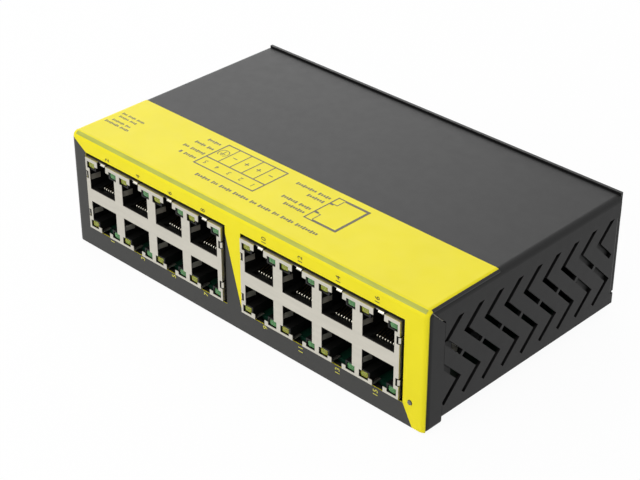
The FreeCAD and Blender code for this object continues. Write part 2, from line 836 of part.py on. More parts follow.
def plug_clamps():
    """Steel cages that close on the wires, seen through the entries."""
    low = plug_levels()[0] + plug_entry_rise
    half = plug_entry / 2 - plug_fit
    cages = []
    for y in terminal_ys():
        x0 = plug_outer + plug_screw_back - plug_screw_radius
        z0, z1 = low + plug_fit, low + plug_entry - plug_fit
        cage = box(x0, x0 + clamp_depth, y - half, y + half, z0, z1)
        cages.append(cage.cut(box(x0 - OVER, x0 + clamp_depth - clamp_back, y - half + clamp_wall,
                                  y + half - clamp_wall, z0 + clamp_wall, z1 - clamp_back)))
    return Part.makeCompound(cages)


def plug_screws():
    low = plug_levels()[0] + plug_entry_rise + plug_entry
    screws = []
    for y in terminal_ys():
        at = Vector(plug_outer + plug_screw_back, y, low)
        screw = rod(plug_screw_radius, at, Z, plug_screw_height)
        reach, top = plug_screw_radius + OVER, low + plug_screw_height
        slot = box(at.x - reach, at.x + reach, y - plug_slot_half, y + plug_slot_half,
                   top - plug_slot_depth, top + OVER)
        screws.append(screw.cut(slot))
    return Part.makeCompound(screws)


# --- Rail clip -------------------------------------------------------------------------------------
def clip_box(x0, x1, y0, y1, half):
    """Block of the clip, level with its middle plane."""
    return box(x0, x1, y0, y1, clip_height_at - half, clip_height_at + half)


def din_bracket():
    """Fixed hook above, guides below; the latch slides in the channel under its roof."""
    body = clip_box(clip_end, clip_guide_end, back_rear, rail_seat, clip_half)
    hook = clip_box(clip_end, hook_inner, back_rear, clip_back, clip_half)
    lip = clip_box(clip_end, hook_inner + hook_grip, rail_seat + hook_slot, clip_back, clip_half)
    body = join([body, hook, lip])
    nose = [e for x in (clip_end, hook_inner + hook_grip) for e in straight_edges(body, Z, x=x, y=clip_back)]
    body = body.makeChamfer(hook_chamfer, nose)
    start = latch_back_end - channel_room
    tools = [
        clip_box(start, clip_guide_end + OVER, back_rear - OVER, back_rear + channel_depth, channel_half),
        clip_box(rail_half - slide_clear, clip_guide_end + OVER, back_rear - OVER, rail_seat + OVER,
                 channel_half),
        # the guides step down beyond the rail
        clip_box(rail_half + rail_clear, clip_guide_end + OVER, back_rear + channel_depth, rail_seat + OVER,
                 clip_half + OVER),
    ]
    for x, z in bracket_screw_places:
        at = Vector(x, rail_seat, clip_height_at + z)
        tools.append(rod(screw_hole, at, Y * -1, channel_depth + clip_roof + OVER))
        tools.append(rod(bracket_screw_head + bracket_head_clear, at + Y * OVER, Y * -1,
                         bracket_screw_head_height + bracket_head_sunk + OVER))
    body = body.cut(tools)
    post_end = latch_window[1] - slide_clear
    post = clip_box(post_end - post_width, post_end, back_rear + slide_clear,
                    back_rear + channel_depth + OVER, latch_window_half - slide_clear)
    return join([body, post])


def din_latch():
    """Slide with the moving hook, a window for its spring and a slot for a screwdriver."""
    low, high = back_rear + slide_clear, back_rear + channel_depth - slide_clear
    half = channel_half - slide_clear
    blade = clip_box(latch_back_end, latch_tail, low, high, half)
    x0 = rail_half + rail_clear
    riser = clip_box(x0, x0 + latch_nose, low, clip_back, half)
    lip = clip_box(x0 - latch_grip, x0 + latch_nose, rail_seat + hook_slot, clip_back, half)
    latch = join([blade, riser, lip])
    # the ramp rides over the rail's edge when the switch is pressed home
    ramp = straight_edges(latch, Z, x=x0 - latch_grip, y=clip_back)
    latch = latch.makeChamfer(latch_ramp, ramp)
    window = clip_box(latch_window[0], latch_window[1], low - OVER, high + OVER, latch_window_half)
    pull = clip_box(latch_slot[0], latch_slot[1], low - OVER, high + OVER, latch_slot_half)
    latch = latch.cut([window, pull])
    return latch.makeFillet(latch_corner, straight_edges(latch, Y, x=latch_tail))


def latch_spring():
    """Folded leaf that pushes the slide's window away from the bracket's post."""
    start, end = latch_window[0], latch_window[1] - slide_clear - post_width
    reach = latch_window_half - slide_clear
    run = (end - start - spring_leaf) / spring_legs
    rise = 2 * reach * spring_legs / (spring_legs + 1)
    upright = spring_leaf * math.hypot(run, rise) / run  # the leaf's height where it is cut upright
    crest = reach - upright / 2
    y = back_rear + channel_depth / 2 - spring_width / 2

    def ribbon(lift):
        return [Vector(start + spring_leaf / 2 + k * run, y, clip_height_at + crest * (-1) ** k + lift)
                for k in range(spring_legs + 1)]

    leaf = prism(ribbon(-upright / 2) + ribbon(upright / 2)[::-1], Y * spring_width)
    ends = [box(x, x + spring_leaf, y, y + spring_width, clip_height_at - reach, clip_height_at + reach)
            for x in (start, end - spring_leaf)]
    return join([leaf] + ends)


def bracket_screws():
    places = []
    for x, z in bracket_screw_places:
        seat = Vector(x, rail_seat - bracket_screw_head_height - bracket_head_sunk, clip_height_at + z)
        length = seat.y - back_front + bracket_screw_tail
        places.append(screw(bracket_screw_head, bracket_screw_head_height, length, seat, Y * -1))
    return Part.makeCompound(places)


# --- Export ----------------------------------------------------------------------------------------
PIECES = {
    "top_cover": top_cover,
    "base_tray": base_tray,
    "front_overlay": front_overlay,
    "main_board": main_board,
    "board_standoffs": board_standoffs,
    "base_screws": base_screws,
    "board_screws": board_screws,
    "rear_screws": rear_screws,
    "switch_chip": switch_chip,
    "heat_sink": heat_sink,
    "transceiver_chips": transceiver_chips,
    "isolation_transformers": isolation_transformers,
    "crystal": crystal,
    "power_inductor": power_inductor,
    "power_capacitor": power_capacitor,
    "supply_regulator": supply_regulator,
    "input_fuse": input_fuse,
    "power_led": power_led,
    "power_light_pipe": power_light_pipe,
    "terminal_header": terminal_header,
    "header_pins": header_pins,
    "terminal_plug": terminal_plug,
    "plug_clamps": plug_clamps,
    "plug_screws": plug_screws,
    "din_bracket": din_bracket,
    "din_latch": din_latch,
    "latch_spring": latch_spring,
    "bracket_screws": bracket_screws,
}
JACK_PIECES = {
    "jack_shield": jack_shield,
    "jack_housing": jack_housing,
    "jack_inserts": jack_inserts,
    "jack_contacts": jack_contacts,
    "yellow_light_pipes": lambda centre: light_pipes(centre, -1),
    "green_light_pipes": lambda centre: light_pipes(centre, 1),
}

os.makedirs("parts", exist_ok=True)


def export(name, shape):
    shape = shape.copy()
    shape.translate(HOME)
    shape.exportStep(f"parts/{name}.step")


for name, build in PIECES.items():
    export(name, build())
for name, build in JACK_PIECES.items():
    for letter, centre in jack_centres.items():
        export(f"{name}_{letter}", build(centre))
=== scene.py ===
"""Looks of the DIN-rail Ethernet switch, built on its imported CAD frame. Metres, +Z up."""
import json
import math

import bmesh
import bpy
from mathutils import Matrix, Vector
from mathutils.geometry import tessellate_polygon


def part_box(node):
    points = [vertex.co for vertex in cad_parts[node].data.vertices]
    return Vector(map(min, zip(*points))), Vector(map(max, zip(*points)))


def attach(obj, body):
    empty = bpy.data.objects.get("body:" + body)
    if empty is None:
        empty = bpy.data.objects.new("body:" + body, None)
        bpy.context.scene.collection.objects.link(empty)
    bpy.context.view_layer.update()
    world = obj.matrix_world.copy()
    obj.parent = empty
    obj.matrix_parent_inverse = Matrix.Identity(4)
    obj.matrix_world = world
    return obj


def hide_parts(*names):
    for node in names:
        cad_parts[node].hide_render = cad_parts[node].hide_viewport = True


MM = 0.001
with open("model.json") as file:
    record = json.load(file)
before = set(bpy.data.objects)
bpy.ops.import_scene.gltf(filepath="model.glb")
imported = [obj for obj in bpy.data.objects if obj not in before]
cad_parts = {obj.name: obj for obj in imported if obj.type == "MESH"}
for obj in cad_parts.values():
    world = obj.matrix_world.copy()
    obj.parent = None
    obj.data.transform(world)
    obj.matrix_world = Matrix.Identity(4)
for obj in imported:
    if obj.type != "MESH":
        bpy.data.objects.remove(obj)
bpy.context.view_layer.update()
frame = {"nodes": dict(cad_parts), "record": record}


# --- Places read from the frame ------------------------------------------------------------------
def span(node, axis):
    """Lowest and highest place of a node along one axis."""
    low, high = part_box(node)
    return low[axis], high[axis]


CASE_LEFT, CASE_RIGHT = span("top_cover", 0)
CASE_MIDDLE = (CASE_LEFT + CASE_RIGHT) / 2
CASE_FRONT = span("top_cover", 1)[0]
FOLD = 2.0 * MM  # outer radius of the case's folds

FILM_FACE, FILM_BACK = span("front_overlay", 1)
FILM_FOOT, FILM_TOP = span("front_overlay", 2)
FILM_EDGE = span("front_overlay", 0)[1]
FILM_FOLD = 2.2 * MM  # the film's own outer radius over the folds
INK = 0.03 * MM  # how far a print stands off the film

JACK_FACE = span("jack_shield_a", 1)[0]
JACK_TOP_TO_MIDDLE = 12.95 * MM
JACK_MIDDLE = span("jack_housing_a", 2)[1] - JACK_TOP_TO_MIDDLE  # height between the two rows
JACK_PITCH = 15.875 * MM
JACK_INSERT = span("jack_inserts_a", 1)[0]
ROW_SOCKETS = 4


def case_x(x):
    """Model x of a size counted from the middle of the case, in millimetres."""
    return CASE_MIDDLE + x * MM


def case_y(y):
    """Model y of a size counted from the front panel, in millimetres."""
    return CASE_FRONT + y * MM


def columns(letter):
    """Middles of the four sockets in one row of a jack."""
    left, right = span(f"jack_shield_{letter}", 0)
    return [(left + right) / 2 + (k - (ROW_SOCKETS - 1) / 2) * JACK_PITCH for k in range(ROW_SOCKETS)]


# --- Small tools ---------------------------------------------------------------------------------
def srgb(red, green, blue):
    """Linear colour of a display colour given from 0 to 255."""
    def linear(value):
        value /= 255
        return value / 12.92 if value <= 0.04045 else ((value + 0.055) / 1.055) ** 2.4
    return (linear(red), linear(green), linear(blue), 1.0)


def add_object(name, mesh, material):
    """Adds a piece that rides on the case."""
    piece = bpy.data.objects.new(name, mesh)
    bpy.context.scene.collection.objects.link(piece)
    mesh.materials.append(material)
    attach(piece, "case")
    return piece


def mesh_from(name, bm, smooth=False, closed=True):
    """Turns the working mesh into a finished one; an open sheet keeps the side its faces look to."""
    mesh = bpy.data.meshes.new(name)
    if closed:
        bmesh.ops.recalc_face_normals(bm, faces=bm.faces)
    bm.to_mesh(mesh)
    bm.free()
    for polygon in mesh.polygons:
        polygon.use_smooth = smooth
    return mesh


def skin(bm, rows, closed=True):
    """Joins neighbouring rows of corners with faces; closed rows run all the way round."""
    faces = []
    for before, after in zip(rows, rows[1:]):
        for k in range(len(before) if closed else len(before) - 1):
            j = (k + 1) % len(before)
            faces.append(bm.faces.new((before[k], before[j], after[j], after[k])))
    return faces


def full_turn(steps):
    """Angles spread evenly round a circle."""
    return [2 * math.pi * k / steps for k in range(steps)]


# --- Materials -----------------------------------------------------------------------------------
NOISE_RANGE = (0.3, 0.7)  # where nearly all of a noise texture's values lie
SLOT_RANGE = (0.8, 0.96)  # openness of a spot: a slot or seam at the first, an open face at the second


class Surface:
    """A principled material and the helper nodes that vary it over the surface."""

    def __init__(self, name, colour, roughness, metallic=0.0, **sockets):
        self.material = bpy.data.materials.new(name)
        self.material.use_nodes = True
        self.nodes = self.material.node_tree.nodes
        self.links = self.material.node_tree.links
        self.shader = self.nodes["Principled BSDF"]
        self.colour = colour
        self.shader.inputs["Base Color"].default_value = colour
        self.shader.inputs["Roughness"].default_value = roughness
        self.shader.inputs["Metallic"].default_value = metallic
        for socket, value in sockets.items():
            self.shader.inputs[socket.replace("_", " ")].default_value = value
        self.coordinates = self.nodes.new("ShaderNodeTexCoord").outputs["Object"]

    def node(self, kind, **values):
        """A new shader node with its settings."""
        made = self.nodes.new(kind)
        for key, value in values.items():
            setattr(made, key, value)
        return made

    def noise(self, size, detail=2.0, stretch=None):
        """Noise whose grains are about one size, in metres."""
        texture = self.node("ShaderNodeTexNoise")
        texture.inputs["Scale"].default_value = 1 / size
        texture.inputs["Detail"].default_value = detail
        source = self.coordinates
        if stretch:
            mapping = self.node("ShaderNodeMapping")
            mapping.inputs["Scale"].default_value = stretch
            self.links.new(source, mapping.inputs["Vector"])
            source = mapping.outputs["Vector"]
        self.links.new(source, texture.inputs["Vector"])
        return texture.outputs["Fac"]

    def between(self, factor, low, high):
        """Maps a factor's middle range to the range from low to high."""
        return self.mapped(factor, NOISE_RANGE, (low, high))

    def mapped(self, factor, source, target):
        """Maps one range of a factor to another."""
        scale = self.node("ShaderNodeMapRange")
        for key, value in zip(("From Min", "From Max", "To Min", "To Max"), source + target):
            scale.inputs[key].default_value = value
        self.links.new(factor, scale.inputs["Value"])
        return scale.outputs["Result"]

    def vary_colour(self, factor, amount):
        """Lightens and darkens the colour by a share, and gives the varied colour back."""
        mix = self.node("ShaderNodeMix", data_type="RGBA", blend_type="MIX")
        dark = [channel * (1 - amount) for channel in self.colour[:3]] + [1]
        light = [min(1, channel * (1 + amount)) for channel in self.colour[:3]] + [1]
        mix.inputs["A"].default_value = dark
        mix.inputs["B"].default_value = light
        self.links.new(self.between(factor, 0, 1), mix.inputs["Factor"])
        self.links.new(mix.outputs["Result"], self.shader.inputs["Base Color"])
        return mix.outputs["Result"]

    def shade_recesses(self, colour, share, reach):
        """Paints shade into narrow slots and seams: darkens the colour there to a share of itself."""
        closed = self.node("ShaderNodeAmbientOcclusion", samples=6)
        closed.inputs["Distance"].default_value = reach
        light = self.mapped(closed.outputs["AO"], SLOT_RANGE, (share, 1.0))
        mix = self.node("ShaderNodeMix", data_type="RGBA", blend_type="MULTIPLY")
        mix.inputs["Factor"].default_value = 1.0
        self.links.new(colour, mix.inputs["A"])
        self.links.new(light, mix.inputs["B"])
        self.links.new(mix.outputs["Result"], self.shader.inputs["Base Color"])

    def vary_roughness(self, factor, low, high):
        """Lets the roughness run between two values."""
        self.links.new(self.between(factor, low, high), self.shader.inputs["Roughness"])

    def bump(self, factor, depth):
        """Relief of a given depth, in metres."""
        relief = self.node("ShaderNodeBump")
        relief.inputs["Strength"].default_value = 1.0
        relief.inputs["Distance"].default_value = depth
        self.links.new(factor, relief.inputs["Height"])
        self.links.new(relief.outputs["Normal"], self.shader.inputs["Normal"])


def case_paint():
    """Dark powder coat: a fine even texture with soft broad variation."""
    paint = Surface("case_paint", srgb(33, 33, 33), 0.5, Specular_IOR_Level=0.2)
    fine = paint.noise(0.35 * MM, detail=3)
    broad = paint.vary_colour(paint.noise(9 * MM), 0.03)
    # painted shade: the powder coat darkens in the vents, slots and seams
    paint.shade_recesses(broad, 0.25, 1.5 * MM)
    paint.vary_roughness(paint.noise(3 * MM), 0.485, 0.515)
    paint.bump(fine, 0.007 * MM)
    return paint.material


def film_yellow():
    """Printed polyester with a satin face."""
    film = Surface("film_yellow", srgb(236, 222, 34), 0.42, Specular_IOR_Level=0.12)
    film.vary_colour(film.noise(14 * MM), 0.02)
    film.vary_roughness(film.noise(5 * MM), 0.38, 0.46)
    film.bump(film.noise(0.25 * MM), 0.003 * MM)
    return film.material


def fold_olive_film():
    """Olive colour of the stripe along the film's front fold."""
    film = Surface("fold_olive_film", srgb(176, 180, 70), 0.42, Specular_IOR_Level=0.4)
    film.vary_colour(film.noise(1.5 * MM, stretch=(0.2, 1, 1)), 0.08)
    film.bump(film.noise(0.2 * MM), 0.003 * MM)
    return film.material


def ink_and_painted_shade(name, colour):
    """Printing ink, and the painted shade on the right fold, with the film's satin face."""
    coat = Surface(name, colour, 0.42, Specular_IOR_Level=0.3)
    coat.vary_colour(coat.noise(2 * MM), 0.04)
    coat.bump(coat.noise(0.25 * MM), 0.003 * MM)
    return coat.material


def shield_tin():
    """Matt tin plate with a faint rolled grain."""
    tin = Surface("shield_tin", srgb(204, 200, 188), 0.34, metallic=0.9)
    grain = tin.vary_colour(tin.noise(1.2 * MM, stretch=(0.15, 1, 1)), 0.03)
    # painted shade: the tin darkens in its slots and in the gaps round it
    tin.shade_recesses(grain, 0.3, 0.9 * MM)
    tin.vary_roughness(tin.noise(0.8 * MM), 0.32, 0.42)
    tin.bump(tin.noise(0.12 * MM, stretch=(0.1, 1, 1)), 0.003 * MM)
    return tin.material


def moulding(name, colour, roughness, grain=0.3 * MM, **sockets):
    """Moulded plastic with a fine eroded texture."""
    plastic = Surface(name, colour, roughness, **sockets)
    plastic.vary_colour(plastic.noise(4 * MM), 0.06)
    plastic.vary_roughness(plastic.noise(1 * MM), roughness - 0.06, roughness + 0.08)
    plastic.bump(plastic.noise(grain), 0.006 * MM)
    return plastic.material


def metal(name, colour, roughness, grain, depth, stretch=None):
    """Bare or plated metal; stretch draws its grain out in one direction."""
    plate = Surface(name, colour, roughness, metallic=1.0)
    plate.vary_colour(plate.noise(3 * MM), 0.05)
    plate.vary_roughness(plate.noise(0.9 * MM, stretch=stretch), roughness - 0.06, roughness + 0.1)
    plate.bump(plate.noise(grain, stretch=stretch), depth)
    return plate.material


def lens(name, colour):
    """Translucent light pipe, unlit."""
    pipe = Surface(name, colour, 0.25, Transmission_Weight=0.35, IOR=1.49, Subsurface_Weight=0.2,
                   Subsurface_Scale=0.5 * MM)
    pipe.vary_colour(pipe.noise(0.8 * MM), 0.12)
    pipe.vary_roughness(pipe.noise(0.5 * MM), 0.2, 0.34)
    pipe.bump(pipe.noise(0.3 * MM), 0.004 * MM)
    return pipe.material


def board_laminate():
    """Green solder mask with the weave of the laminate under it; the green is darkened as painted shade for
    the dark inside of the case.
    """
    board = Surface("board_laminate", srgb(10, 48, 34), 0.35, Coat_Weight=0.3, Coat_Roughness=0.25)
    board.vary_colour(board.noise(0.8 * MM, detail=4), 0.15)
    board.bump(board.noise(0.3 * MM), 0.004 * MM)
    return board.material


MATERIALS = {
    "case_paint": case_paint(),
    "printed_film": film_yellow(),
    "shield_tin": shield_tin(),
    # black plastic, darkened further as painted shade for the insides of the sockets
    "black_moulding": moulding("black_moulding", srgb(16, 16, 15), 0.42, Specular_IOR_Level=0.25),
    "contact_gold": metal("contact_gold", srgb(250, 244, 226), 0.4, 0.1 * MM, 0.0005 * MM),
    "yellow_lens": lens("yellow_lens", srgb(164, 170, 44)),
    "green_lens": lens("green_lens", srgb(84, 150, 84)),
    "grey_lens": lens("grey_lens", srgb(120, 122, 118)),
    "board_laminate": board_laminate(),
    "zinc_screw": metal("zinc_screw", srgb(196, 198, 200), 0.3, 0.2 * MM, 0.003 * MM),
    "chip_package": moulding("chip_package", srgb(34, 34, 34), 0.55, 0.2 * MM),
    "sink_aluminium": metal("sink_aluminium", srgb(190, 192, 194), 0.38, 0.2 * MM, 0.004 * MM, (1, 0.1, 1)),
    "can_metal": metal("can_metal", srgb(200, 200, 204), 0.25, 0.2 * MM, 0.002 * MM),
    "terminal_moulding": moulding("terminal_moulding", srgb(38, 122, 66), 0.42),
    "tinned_pin": metal("tinned_pin", srgb(214, 212, 206), 0.3, 0.15 * MM, 0.002 * MM),
    "clip_metal": metal("clip_metal", srgb(176, 177, 178), 0.45, 0.3 * MM, 0.01 * MM),
    "latch_moulding": moulding("latch_moulding", srgb(30, 30, 30), 0.5, 0.35 * MM),
    "spring_steel": metal("spring_steel", srgb(170, 172, 176), 0.3, 0.2 * MM, 0.002 * MM),
}
DARK_INK = ink_and_painted_shade("dark_ink", srgb(50, 50, 48))
# painted shade: dark colour laid on the film over the case's right fold
RIM_SHADE_PAINT = ink_and_painted_shade("rim_shade_paint", srgb(33, 33, 33))
BLACK_INK = ink_and_painted_shade("black_ink", srgb(70, 64, 34))
FAINT_INK = ink_and_painted_shade("faint_ink", srgb(84, 78, 36))
YELLOW_INK = ink_and_painted_shade("yellow_ink", srgb(214, 208, 80))
FOLD_OLIVE_FILM = fold_olive_film()
# painted shade: a darker copy of the contact metal, for the springs behind their bright noses
CONTACT_SHADE_COPY = metal("contact_painted_shade", srgb(120, 104, 76), 0.3, 0.1 * MM, 0.0005 * MM)


def dress_nodes():
    """Gives each CAD node the material that its slot names."""
    for part in frame["record"]["subparts"]:
        mesh = frame["nodes"][part["node"]].data
        mesh.materials.clear()
        mesh.materials.append(MATERIALS[part["material_slot"]])


# --- Printing and painted shade on the film ------------------------------------------------------
def counter_clockwise(points):
    """The same outline, run counter-clockwise."""
    area = sum(x0 * y1 - x1 * y0 for (x0, y0), (x1, y1) in zip(points, points[1:] + points[:1]))
    return points if area > 0 else points[::-1]


def on_top(x, y):
    """Place of a print on the top, in millimetres from the middle and from the front."""
    return Vector((case_x(x), case_y(y), FILM_TOP + INK))


def on_front(x, z):
    """Place of a print on the front, in millimetres from the middle and from the foot."""
    return Vector((case_x(x), FILM_FACE - INK, z * MM))


def fill(bm, place, points):
    """A flat field of ink with any outline, given in millimetres."""
    points = counter_clockwise(points)
    verts = [bm.verts.new(place(*point)) for point in points]
    flat = [Vector((x, y, 0)) for x, y in points]
    for a, b, c in tessellate_polygon([flat]):
        turn = (flat[b] - flat[a]).cross(flat[c] - flat[a]).z
        bm.faces.new([verts[a], verts[b], verts[c]] if turn > 0 else [verts[a], verts[c], verts[b]])


def bar(bm, place, x0, x1, y0, y1):
    """A filled rectangle."""
    fill(bm, place, [(x0, y0), (x1, y0), (x1, y1), (x0, y1)])


def rectangle_line(bm, place, x0, x1, y0, y1, line):
    """Outline of a rectangle, drawn inside it."""
    bar(bm, place, x0, x1, y0, y0 + line)
    bar(bm, place, x0, x1, y1 - line, y1)
    bar(bm, place, x0, x0 + line, y0 + line, y1 - line)
    bar(bm, place, x1 - line, x1, y0 + line, y1 - line)


ARC_STEPS = 40


def round_line(bm, place, x, y, radius, line, start, end):
    """A line along an arc from one angle to another, in degrees."""
    for k in range(ARC_STEPS):
        first, last = (math.radians(start + (end - start) * (k + j) / ARC_STEPS) for j in (0, 1))
        corners = ((radius, first), (radius, last), (radius - line, last), (radius - line, first))
        fill(bm, place, [(x + r * math.cos(t), y + r * math.sin(t)) for r, t in corners])


def numeral(bm, place, text, x, y, height, right, up):
    """Adds a plain number, centred on x and y; right and up are the directions of its lines."""
    curve = bpy.data.curves.new("numeral", "FONT")
    curve.body = text
    holder = bpy.data.objects.new("numeral", curve)
    shape = bpy.data.meshes.new_from_object(holder)
    low = [min(v.co[k] for v in shape.vertices) for k in (0, 1)]
    high = [max(v.co[k] for v in shape.vertices) for k in (0, 1)]
    scale = height / (high[1] - low[1])
    verts = []
    for vert in shape.vertices:
        u, v = ((vert.co[k] - (low[k] + high[k]) / 2) * scale for k in (0, 1))
        verts.append(bm.verts.new(place(x + u * right[0] + v * up[0], y + u * right[1] + v * up[1])))
    for polygon in shape.polygons:
        corners = [verts[k] for k in polygon.vertices]
        bm.faces.new(corners)
    bpy.data.objects.remove(holder)
    bpy.data.curves.remove(curve)
    bpy.data.meshes.remove(shape)


# shares of a line's height: the gap between words, the pitch of letters, and tall and low letters
WORD_GAP, LETTER_PITCH = 0.6, 0.62
LETTER_TALL, LETTER_LOW = 0.92, 0.62
LETTER_WIDE = 0.68  # share of the pitch
TALL_EVERY = 3


def word_bars(bm, place, x0, x1, y, height, words):
    """A line of plain blocks in place of text; words are the shares of its length."""
    gap = height * WORD_GAP
    room = (x1 - x0) - gap * (len(words) - 1)
    x = x0
    for word in words:
        end = x + room * word / sum(words)
        count = max(1, round((end - x) / (height * LETTER_PITCH)))
        step = (end - x) / count
        for k in range(count):
            tall = height * (LETTER_LOW if k % TALL_EVERY else LETTER_TALL)
            bar(bm, place, x + k * step, x + k * step + step * LETTER_WIDE, y - tall / 2, y + tall / 2)
        x = end + gap


# side and place where the front print starts to bend round each upright corner of the case
BENDS = ((-1, CASE_LEFT + FOLD), (1, CASE_RIGHT - FOLD))


def wrap_end(point):
    """Bends a point of the front print round the upright corner of the case."""
    for side, start in BENDS:
        past = (point.x - start) * side
        if past > 0:
            turn = past / FILM_FOLD
            depth = (FILM_FOLD + INK) * (1 - math.cos(turn))
            return Vector((start + side * (FILM_FOLD + INK) * math.sin(turn), point.y + depth, point.z))
    return point


def print_and_shade_sheet(name, bm, material, smooth=False):
    """Adds a thin open sheet on the film, for the prints, the fold's olive stripe and the painted shade on
    the right fold.
    """
    add_object(name, mesh_from(name, bm, smooth, closed=False), material)


# the openings of the film round the two jacks: left and right edge, foot and head, in millimetres
OPENING = {"a": (-69.17, -4.03), "b": (2.53, 67.67)}
OPENING_FOOT, OPENING_HEAD = 7.53, 35.47

DARK_TOP = 39.0  # the dark field's height at the left end of the front
DARK_TOP_END = -74.6  # where its edge starts to slant down to the left jack
DARK_FOOT_END = 71.4  # where it ends at the foot of the front, past the right jack
SLANT_FOOT, SLANT_HEAD = 8.0, 32.7  # heights of its slanted edge between the jacks
BEND_CUTS, BEND_STEP = 7, 0.28 * MM  # cuts that let the print bend round a corner


def dark_field():
    """Dark lower part of the front print, with its slanted steps."""
    foot = FILM_FOOT / MM
    (a_left, a_right), (b_left, b_right) = OPENING["a"], OPENING["b"]
    turned = FILM_EDGE - (CASE_RIGHT - FOLD)
    past = FILM_FOLD * math.asin(turned / FILM_FOLD) / MM  # flat length of film past the bend
    left = (CASE_LEFT + FOLD - CASE_MIDDLE) / MM - past
    outline = [
        (left, foot), (DARK_FOOT_END, foot), (b_right, OPENING_FOOT), (b_left, OPENING_FOOT),
        (b_left, SLANT_FOOT), (a_right, SLANT_HEAD), (a_right, OPENING_FOOT), (a_left, OPENING_FOOT),
        (a_left, OPENING_HEAD), (DARK_TOP_END, DARK_TOP), (left, DARK_TOP),
    ]
    bm = bmesh.new()
    fill(bm, on_front, outline)
    for side, start in BENDS:
        for k in range(BEND_CUTS):
            cut_at = Vector((start + side * k * BEND_STEP, 0, 0))
            geometry = bm.verts[:] + bm.edges[:] + bm.faces[:]
            bmesh.ops.bisect_plane(bm, geom=geometry, plane_co=cut_at, plane_no=Vector((1, 0, 0)))
    for vert in bm.verts:
        vert.co = wrap_end(vert.co)
    # the strip on the film's cut edge at the left end
    edge = CASE_LEFT + FOLD - turned - INK
    outer = CASE_FRONT + FOLD - math.sqrt((FILM_FOLD + INK) ** 2 - turned**2)
    inner = CASE_FRONT + FOLD - math.sqrt((FOLD - INK) ** 2 - turned**2)
    corners = ((outer, DARK_TOP), (inner, DARK_TOP), (inner, foot), (outer, foot))
    bm.faces.new([bm.verts.new((edge, y, z * MM)) for y, z in corners])
    print_and_shade_sheet("dark_field", bm, DARK_INK)


BAND_LEFT, BAND_LENGTH = -73.9, 148.6  # millimetres
BAND_START, BAND_TURN = 35, 35  # degrees up from the front, and round the fold
BAND_STEPS, BAND_ROUND = 60, 7


def fold_band():
    """Olive stripe along the fold of the film."""
    bm = bmesh.new()
    centre_y, centre_z = CASE_FRONT + FOLD, FILM_TOP - FILM_FOLD
    reach = FILM_FOLD + INK
    turns = [math.radians(BAND_START + BAND_TURN * k / BAND_ROUND) for k in range(BAND_ROUND + 1)]
    rows = []
    for turn in turns:
        y, z = centre_y - reach * math.cos(turn), centre_z + reach * math.sin(turn)
        rows.append([bm.verts.new((case_x(BAND_LEFT + BAND_LENGTH * k / BAND_STEPS), y, z))
                     for k in range(BAND_STEPS + 1)])
    skin(bm, rows, closed=False)
    print_and_shade_sheet("fold_band", bm, FOLD_OLIVE_FILM, smooth=True)


RIM_START = 26  # degrees round the fold from the top
RIM_ROUND, RIM_STEPS = 6, 8
RIM_FRONT = 2.0  # millimetres behind the front panel


def painted_rim_shade():
    """Painted shade on the film, where it turns over the right fold of the case."""
    bm = bmesh.new()
    centre_x, centre_z = CASE_RIGHT - FOLD, FILM_TOP - FILM_FOLD
    reach = FILM_FOLD + INK
    turned = FILM_EDGE - centre_x
    first, last = math.radians(RIM_START), math.asin(turned / FILM_FOLD)
    turns = [first + (last - first) * k / RIM_ROUND for k in range(RIM_ROUND + 1)]
    arc = [(reach * math.sin(turn), reach * math.cos(turn)) for turn in turns]
    # then down over the film's cut edge
    for radius in (reach, FOLD - INK):
        arc.append((turned + INK, math.sqrt(radius**2 - turned**2)))
    front = case_y(RIM_FRONT)
    rows = []
    for k in range(RIM_STEPS + 1):
        y = front + (FILM_BACK - front) * k / RIM_STEPS
        rows.append([bm.verts.new((centre_x + across, y, centre_z + up)) for across, up in arc])
    skin(bm, rows, closed=False)
    print_and_shade_sheet("painted_rim_shade", bm, RIM_SHADE_PAINT)


# places across the front, each with one number above the sockets and one below, in millimetres
NUMBER_PLACES = (-58.3, -43.4, -28.5, -13.6, 12.6, 27.5, 42.5, 57.4)
NUMBER_SIZE = 1.8
# heights of the middles of numbers with one digit and with two
UPPER_NUMBERS, LOWER_NUMBERS = (36.7, 37.4), (6.6, 5.8)


def port_numbers():
    """Number of each socket, read upward: even above the upper row and odd below the lower one."""
    up, left = (0, 1), (-1, 0)
    for first, heights, name, coat in ((2, UPPER_NUMBERS, "port_numbers_upper", BLACK_INK),
                                       (1, LOWER_NUMBERS, "port_numbers_lower", YELLOW_INK)):
        bm = bmesh.new()
        for k, x in enumerate(NUMBER_PLACES):
            text = str(2 * k + first)
            numeral(bm, on_front, text, x, heights[len(text) - 1], NUMBER_SIZE, up, left)
        for vert in bm.verts:  # clear of the dark field's ink
            vert.co.y -= INK
        print_and_shade_sheet(name, bm, coat)


# left and right end, and the three long lines, in millimetres
TABLE_ENDS, TABLE_ROWS = (-31.9, -5.2), (12.5, 18.0, 28.1)
TABLE_LINE, TABLE_THIN = 0.5, 0.38
TABLE_WAYS = "e-++-"  # earth and polarity of each way, from the left
WAY_NUMBERS, WAY_SIGNS = 15.3, 23.0  # middles of the two rows of marks
SIGN_HALF, SIGN_LINE = 0.9, 0.34
EARTH_RADIUS, EARTH_LINE, EARTH_ARC = 2.0, 0.25, (-60, 240)  # the circle is open toward the front
STEM_HALF, STEM_FOOT, STEM_HEAD = 0.14, -0.2, 1.5
PLATE_HALVES, PLATE_PITCH = (1.1, 0.7, 0.35), 0.5


def earth_sign(bm, x, y):
    """Earth mark in a part of a circle: a stem on three plates."""
    round_line(bm, on_top, x, y, EARTH_RADIUS, EARTH_LINE, *EARTH_ARC)
    bar(bm, on_top, x - STEM_HALF, x + STEM_HALF, y + STEM_FOOT, y + STEM_HEAD)
    for k, half in enumerate(PLATE_HALVES):
        top = y + STEM_FOOT - PLATE_PITCH * k
        bar(bm, on_top, x - half, x + half, top - EARTH_LINE, top)


